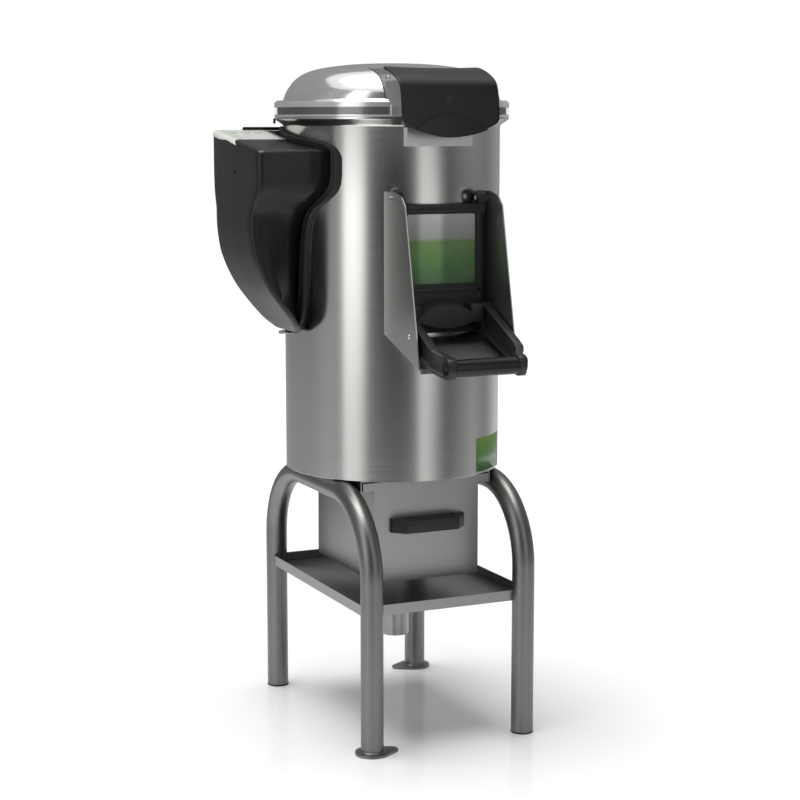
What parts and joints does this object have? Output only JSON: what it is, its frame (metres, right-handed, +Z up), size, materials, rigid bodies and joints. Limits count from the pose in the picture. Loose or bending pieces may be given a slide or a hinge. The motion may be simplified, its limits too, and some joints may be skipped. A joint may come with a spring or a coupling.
{
  "type": "electric potato peeler",
  "caption": "Free-standing drum peeler with an abrasive disc, hinged clear lid, discharge door and chute, control housing and a filter drawer on a tubular stand.",
  "frame": {"origin": "middle of the footprint box, on the floor", "axes": "+Z up, -Y towards the user in front of the discharge door, +X to the right, so that the control housing is on the left"},
  "size_m": [0.5192, 0.6376, 1.196],
  "materials": {
    "brushed_steel": "brushed stainless sheet",
    "satin_steel_tube": "satin stainless tube and bar",
    "cast_aluminium": "cast",
    "black_plastic": "moulded, fine satin",
    "black_rubber": "matte",
    "clear_plastic": "clear moulded polycarbonate, glossy",
    "grey_plastic": "moulded, satin",
    "green_label": "printed film, plain gradient",
    "white_panel": "printed membrane",
    "green_button": "moulded",
    "red_button": "moulded",
    "abrasive_grit": "bonded grit",
    "motor_paint": "satin paint"
  },
  "bodies": {
    "body": {"drum_shell": "brushed_steel", "drum_base": "brushed_steel", "chamber_floor": "brushed_steel", "chute_cheek_left": "brushed_steel", "chute_cheek_right": "brushed_steel", "chute_floor": "brushed_steel", "drawer_rail_left": "brushed_steel", "drawer_rail_right": "brushed_steel", "motor_shelf": "brushed_steel", "lid_bracket": "brushed_steel", "lid_catch": "brushed_steel", "door_pin_left": "brushed_steel", "door_pin_right": "brushed_steel", "stand_tube_left": "satin_steel_tube", "stand_tube_right": "satin_steel_tube", "foot_flange_front_left": "satin_steel_tube", "foot_flange_back_right": "satin_steel_tube", "stand_crossbar": "satin_steel_tube", "drip_pan": "satin_steel_tube", "lid_pin": "satin_steel_tube", "upper_bearing": "satin_steel_tube", "lower_bearing": "satin_steel_tube", "spindle_sleeve": "cast_aluminium", "water_inlet": "cast_aluminium", "housing_cover": "black_plastic", "door_collar": "black_plastic", "lid_switch": "black_plastic", "cable_gland": "black_plastic", "foot_cap_front_right": "black_plastic", "foot_cap_back_left": "black_plastic", "housing_seal": "black_rubber", "drive_belt": "black_rubber", "waste_pipe": "grey_plastic", "contactor": "grey_plastic", "control_panel": "white_panel", "abrasive_lining": "abrasive_grit", "motor": "motor_paint"},
    "drawer": {"drawer_box": "brushed_steel", "drawer_front": "brushed_steel", "drawer_handle": "black_plastic", "filter_screen": "brushed_steel"},
    "door": {"door_leaf": "black_plastic", "door_label": "green_label", "door_arm_left": "black_plastic", "door_arm_right": "black_plastic", "door_bar": "black_plastic"},
    "lid": {"lid_dome": "clear_plastic", "lid_gasket": "black_rubber", "lid_handle": "black_plastic", "lid_hinge_leaf": "brushed_steel", "lid_magnet": "grey_plastic"},
    "disc": {"spindle": "satin_steel_tube", "driven_pulley": "cast_aluminium", "abrasive_disc": "abrasive_grit", "disc_nut": "black_plastic"},
    "motor_rotor": {"motor_pulley": "cast_aluminium", "motor_shaft": "satin_steel_tube"},
    "start_button": {"start_button": "green_button"},
    "stop_button": {"stop_button": "red_button"},
    "timer_button": {"timer_button": "white_panel"}
  },
  "joints": [
    {"name": "drawer_slide", "type": "slide", "parent": "body", "child": "drawer", "axis": [0, -1, 0], "range_m": [0, 0.23]},
    {"name": "door_hinge", "type": "hinge", "parent": "body", "child": "door", "pos_m": [0.04782, -0.12332, 0.961], "axis": [-1, 0, 0], "range_deg": [0, 85]},
    {"name": "lid_hinge", "type": "hinge", "parent": "body", "child": "lid", "pos_m": [0.04782, 0.30168, 1.123], "axis": [-1, 0, 0], "range_deg": [0, 75]},
    {"name": "disc_spin", "type": "hinge", "parent": "body", "child": "disc", "pos_m": [0.04782, 0.07368, 0.7], "axis": [0, 0, 1], "continuous": true},
    {"name": "motor_spin", "type": "hinge", "parent": "body", "child": "motor_rotor", "pos_m": [0.04782, 0.19168, 0.54], "axis": [0, 0, 1], "continuous": true},
    {"name": "start_press", "type": "slide", "parent": "body", "child": "start_button", "axis": [0, 0.1418, -0.9899], "range_m": [0, 0.0012], "stiffness_N_per_m": 800, "springref_m": -0.001},
    {"name": "stop_press", "type": "slide", "parent": "body", "child": "stop_button", "axis": [0, 0.1418, -0.9899], "range_m": [0, 0.0012], "stiffness_N_per_m": 800, "springref_m": -0.001},
    {"name": "timer_press", "type": "slide", "parent": "body", "child": "timer_button", "axis": [0, 0.1418, -0.9899], "range_m": [0, 0.0012], "stiffness_N_per_m": 800, "springref_m": -0.001}
  ],
  "couplings": [
    {"joint": "motor_spin", "follows": "disc_spin", "ratio": 3.2943}
  ]
}
